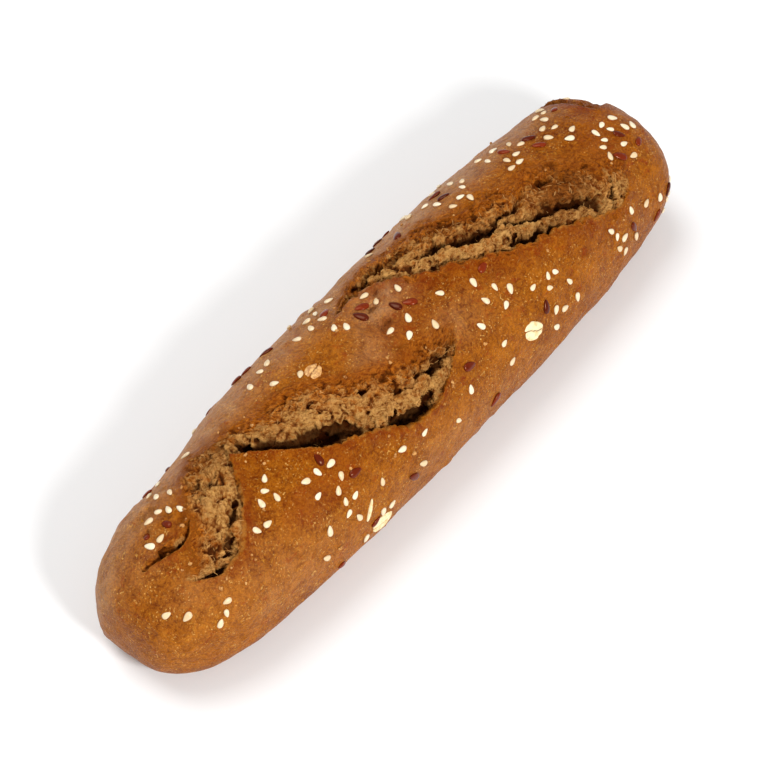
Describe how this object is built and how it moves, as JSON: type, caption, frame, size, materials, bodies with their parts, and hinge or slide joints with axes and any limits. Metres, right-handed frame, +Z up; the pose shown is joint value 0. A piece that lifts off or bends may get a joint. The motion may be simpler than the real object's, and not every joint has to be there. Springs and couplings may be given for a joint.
{
  "type": "multigrain baguette",
  "caption": "Short multigrain baguette: a brown loaf with torn diagonal slashes showing crumb, and sesame, flax and oat flakes baked onto its crust.",
  "frame": {"origin": "centre of the footprint, on the surface the loaf rests on", "axes": "+X along the loaf towards its blunter end, -Y the side the slashes open towards, +Z up"},
  "size_m": [0.252, 0.0655, 0.0521],
  "materials": {
    "crust": "satin",
    "sesame": "satin",
    "flax": "gloss",
    "oat": "matte",
    "crumb": "matte"
  },
  "bodies": {
    "root": {"baguette": "crust"}
  },
  "joints": []
}
